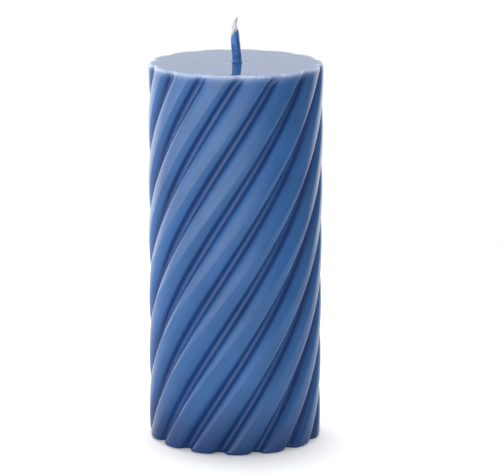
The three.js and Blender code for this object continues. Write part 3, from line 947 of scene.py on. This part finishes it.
class CANDLE_OT_studio(bpy.types.Operator):
    """Build the floor, the lamp, the room and the camera"""

    bl_idname = "candle.studio"
    bl_label = "Studio"

    def execute(self, context):
        scene = context.scene
        studio = scene.candle_studio
        middle = Vector((0, 0, scene.candle_body.height / 2))
        self.add_floor(scene, studio)
        self.add_room(scene, studio)
        self.add_lamp(scene, studio, middle)
        self.add_camera(scene, studio, middle)
        return {"FINISHED"}

    def add_floor(self, scene, studio):
        """A level floor that is white to the camera, with the candle's shadow on it.

        It lets the rays of a camera below through, and is a plain light for the rays that follow.
        """
        mesh = bpy.data.meshes.new("floor")
        flat = studio.floor_radius * np.exp(1j * TURN * np.arange(FLOOR_SIDES) / FLOOR_SIDES)
        rim = np.stack([flat.real, flat.imag, np.full(FLOOR_SIDES, -studio.floor_drop)], axis=-1)
        mesh.from_pydata(rim, [], [tuple(range(FLOOR_SIDES))])
        material, tree, shader = new_material("Floor")
        tree.nodes.remove(shader)
        light_path = add_node(tree, "ShaderNodeLightPath")
        backfacing = add_node(tree, "ShaderNodeNewGeometry")["Backfacing"]
        plain = add_node(tree, "ShaderNodeBsdfDiffuse", {"Color": scene.candle_colours.floor})[0]
        lift = add_node(tree, "ShaderNodeEmission", {"Color": WHITE, "Strength": studio.floor_lift})[0]
        under = add_node(tree, "ShaderNodeEmission", {"Color": WHITE, "Strength": studio.floor_under})[0]
        seen = add_node(tree, "ShaderNodeAddShader", {0: plain, 1: lift})[0]
        above = mix_shaders(tree, light_path["Is Camera Ray"], plain, seen)
        lit = mix_shaders(tree, light_path["Transparent Depth"], above, under)
        from_below = calculate(tree, "MULTIPLY", backfacing, light_path["Is Camera Ray"])
        clear = add_node(tree, "ShaderNodeBsdfTransparent")[0]
        set_inputs(tree, tree.nodes["Material Output"], {
            "Surface": mix_shaders(tree, from_below, lit, clear),
        })
        mesh.materials.append(material)
        floor = bpy.data.objects.new("floor", mesh)
        scene.collection.objects.link(floor)

    def add_room(self, scene, studio):
        """A room that is white to the camera and lights the candle with soft lights and a dim surround."""
        world = bpy.data.worlds.new("Room")
        scene.world = world
        world.use_nodes = True
        tree = world.node_tree
        direction = add_node(tree, "ShaderNodeTexCoord")["Generated"]
        lights = [
            (studio.glow, studio.glow_azimuth, studio.glow_elevation, studio.glow_reach),
            (studio.wall, studio.wall_azimuth, studio.wall_elevation, studio.wall_reach),
            (studio.edge, -studio.edge_azimuth, studio.edge_elevation, studio.edge_reach),
            (studio.edge, studio.edge_azimuth, studio.edge_elevation, studio.edge_reach),
        ]
        total = studio.surround
        for light in lights:
            total = calculate(tree, "ADD", total, self.soft_light(tree, direction, *light))
        lit = tree.nodes["Background"]
        set_inputs(tree, lit, {"Color": WHITE, "Strength": total})
        seen = add_node(tree, "ShaderNodeBackground", {"Color": WHITE, "Strength": 1.0})[0]
        is_camera_ray = add_node(tree, "ShaderNodeLightPath")["Is Camera Ray"]
        set_inputs(tree, tree.nodes["World Output"], {
            "Surface": mix_shaders(tree, is_camera_ray, lit.outputs[0], seen),
        })

    def soft_light(self, tree, direction, brightness, azimuth, elevation, reach):
        """Brightness that falls smoothly from its full value in one direction to 0 at its reach."""
        towards = self.away(azimuth, elevation)
        facing = add_node(
            tree, "ShaderNodeVectorMath", {0: direction, 1: towards}, operation="DOT_PRODUCT"
        )["Value"]
        return map_range(tree, facing, (math.cos(reach), 1.0), (0.0, brightness), "SMOOTHSTEP")

    def add_lamp(self, scene, studio, target):
        """A square lamp above, turned to the candle. Power is brightness * pi * area."""
        data = bpy.data.lights.new("Top Lamp", "AREA")
        data.size = studio.lamp_side
        data.energy = studio.lamp * math.pi * studio.lamp_side**2
        back = self.away(studio.lamp_azimuth, studio.lamp_elevation)
        lamp = bpy.data.objects.new("Top Lamp", data)
        lamp.location = target + back * studio.lamp_distance
        lamp.rotation_euler = (-back).to_track_quat("-Z", "Y").to_euler()
        scene.collection.objects.link(lamp)

    def add_camera(self, scene, studio, target):
        """The camera, aimed at the middle of the candle from the photographed side."""
        data = bpy.data.cameras.new("Camera")
        data.sensor_width = 36
        data.lens = studio.lens
        data.shift_x, data.shift_y = studio.shift_x, studio.shift_y
        data.clip_start, data.clip_end = 0.05, 20
        back = self.away(-studio.azimuth, studio.elevation)
        camera = bpy.data.objects.new("Camera", data)
        camera.location = target + back * studio.distance
        level = (-back).to_track_quat("-Z", "Y")
        camera.rotation_euler = (level @ Quaternion((0, 0, 1), studio.roll)).to_euler()
        scene.collection.objects.link(camera)
        scene.camera = camera
        scene.view_settings.view_transform = "Standard"

    def away(self, azimuth, elevation):
        """The direction from the candle at an azimuth from the front, to the right, and an elevation."""
        level = math.cos(elevation)
        return Vector((math.sin(azimuth) * level, -math.cos(azimuth) * level, math.sin(elevation)))


OPERATORS = (
    CANDLE_OT_coloured_coat,
    CANDLE_OT_pale_core,
    CANDLE_OT_wick_strands,
    CANDLE_OT_wick_coat,
    CANDLE_OT_wick_tab,
    CANDLE_OT_studio,
)


class CANDLE_PT_sidebar(bpy.types.Panel):
    """Lists the candle's pieces and sizes"""

    bl_idname = "CANDLE_PT_sidebar"
    bl_label = "Spiral Pillar Candle"
    bl_space_type = "VIEW_3D"
    bl_region_type = "UI"
    bl_category = "Candle"

    def draw(self, context):
        for operator in OPERATORS:
            self.layout.operator(operator.bl_idname)
        for name, group in SETTINGS.items():
            column = self.layout.column(align=True)
            settings = getattr(context.scene, name)
            for key in group.__annotations__:
                column.prop(settings, key)


def register():
    """Adds the settings, the operators and the panel."""
    for name, group in SETTINGS.items():
        bpy.utils.register_class(group)
        setattr(bpy.types.Scene, name, bpy.props.PointerProperty(type=group))
    for operator in OPERATORS:
        bpy.utils.register_class(operator)
    bpy.utils.register_class(CANDLE_PT_sidebar)


def unregister():
    """Takes them away again, in reverse."""
    bpy.utils.unregister_class(CANDLE_PT_sidebar)
    for operator in reversed(OPERATORS):
        bpy.utils.unregister_class(operator)
    for name, group in reversed(SETTINGS.items()):
        delattr(bpy.types.Scene, name)
        bpy.utils.unregister_class(group)


def main():
    register()
    bpy.ops.candle.coloured_coat()
    bpy.ops.candle.pale_core()
    bpy.ops.candle.wick_strands()
    bpy.ops.candle.wick_coat()
    bpy.ops.candle.wick_tab()
    bpy.ops.candle.studio()


if __name__ == "__main__":
    main()
